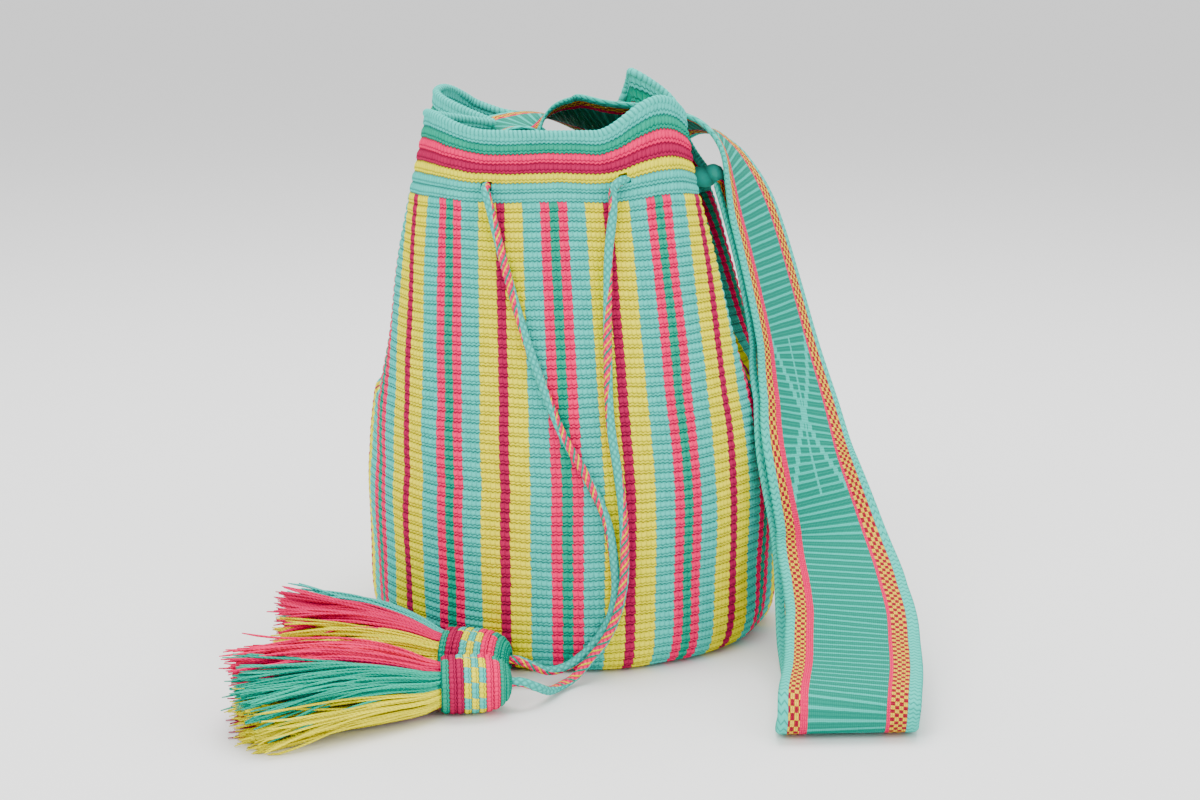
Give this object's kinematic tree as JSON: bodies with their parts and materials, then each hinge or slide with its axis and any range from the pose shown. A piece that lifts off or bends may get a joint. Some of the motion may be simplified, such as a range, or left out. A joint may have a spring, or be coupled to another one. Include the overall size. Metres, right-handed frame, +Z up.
{
  "type": "drawstring bag",
  "caption": "Crocheted bucket bag with upright stripes, a gathered banded neck, a wide woven strap and a drawstring with two tassels.",
  "frame": {"origin": "middle of the underside of the round base, on the surface that the bag stands on", "axes": "+Z up; the front, where the drawstring comes out, faces -Y; the strap hangs down on the +X side"},
  "size_m": [0.3726, 0.3489, 0.317],
  "materials": {
    "crochet": "matt cotton crochet in stripes",
    "webbing": "matt woven band with light ribs and checked borders",
    "braid": "round braided cord",
    "sewing_yarn": "overcast yarn",
    "cap_crochet": "crochet in coloured bands",
    "yarn_pink": "cut two-ply yarn",
    "yarn_green": "cut two-ply yarn",
    "yarn_yellow": "cut two-ply yarn",
    "yarn_crimson": "cut two-ply yarn",
    "yarn_aqua": "cut two-ply yarn"
  },
  "bodies": {
    "root": {"bag_body": "crochet", "strap": "webbing", "strap_seam_left": "sewing_yarn", "strap_seam_right": "sewing_yarn", "drawstring": "braid", "tassel_cap_front": "cap_crochet", "tassel_cap_rear": "cap_crochet", "tassel_tie_front": "yarn_yellow", "tassel_tie_rear": "yarn_yellow", "tassel_front_pink": "yarn_pink", "tassel_front_green": "yarn_green", "tassel_front_yellow": "yarn_yellow", "tassel_front_crimson": "yarn_crimson", "tassel_rear_aqua": "yarn_aqua", "tassel_rear_magenta": "yarn_crimson", "tassel_rear_yellow": "yarn_yellow", "tassel_rear_green": "yarn_green"}
  },
  "joints": []
}
